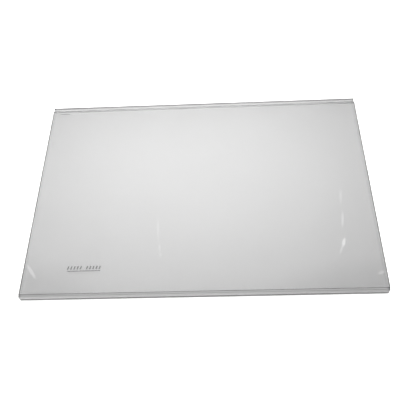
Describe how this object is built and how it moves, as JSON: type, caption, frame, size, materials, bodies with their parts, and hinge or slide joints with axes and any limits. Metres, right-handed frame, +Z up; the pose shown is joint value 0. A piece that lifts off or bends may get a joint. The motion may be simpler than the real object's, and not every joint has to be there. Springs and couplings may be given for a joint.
{
  "type": "fridge glass shelf",
  "caption": "Flat rectangular glass refrigerator shelf with a clear beaded trim pushed onto its front edge and a clear trim with a low stop along its rear edge.",
  "frame": {"origin": "on the supporting plane, under the middle of the shelf's plan rectangle", "axes": "+X to the shelf's right seen from the front, +Y from front to rear, +Z up"},
  "size_m": [0.52, 0.363, 0.0089],
  "materials": {
    "clear_glass": "smooth float glass with ground edges",
    "clear_trim": "clear extruded plastic"
  },
  "bodies": {
    "root": {"glass_pane": "clear_glass", "front_trim": "clear_trim", "rear_trim": "clear_trim"}
  },
  "joints": []
}
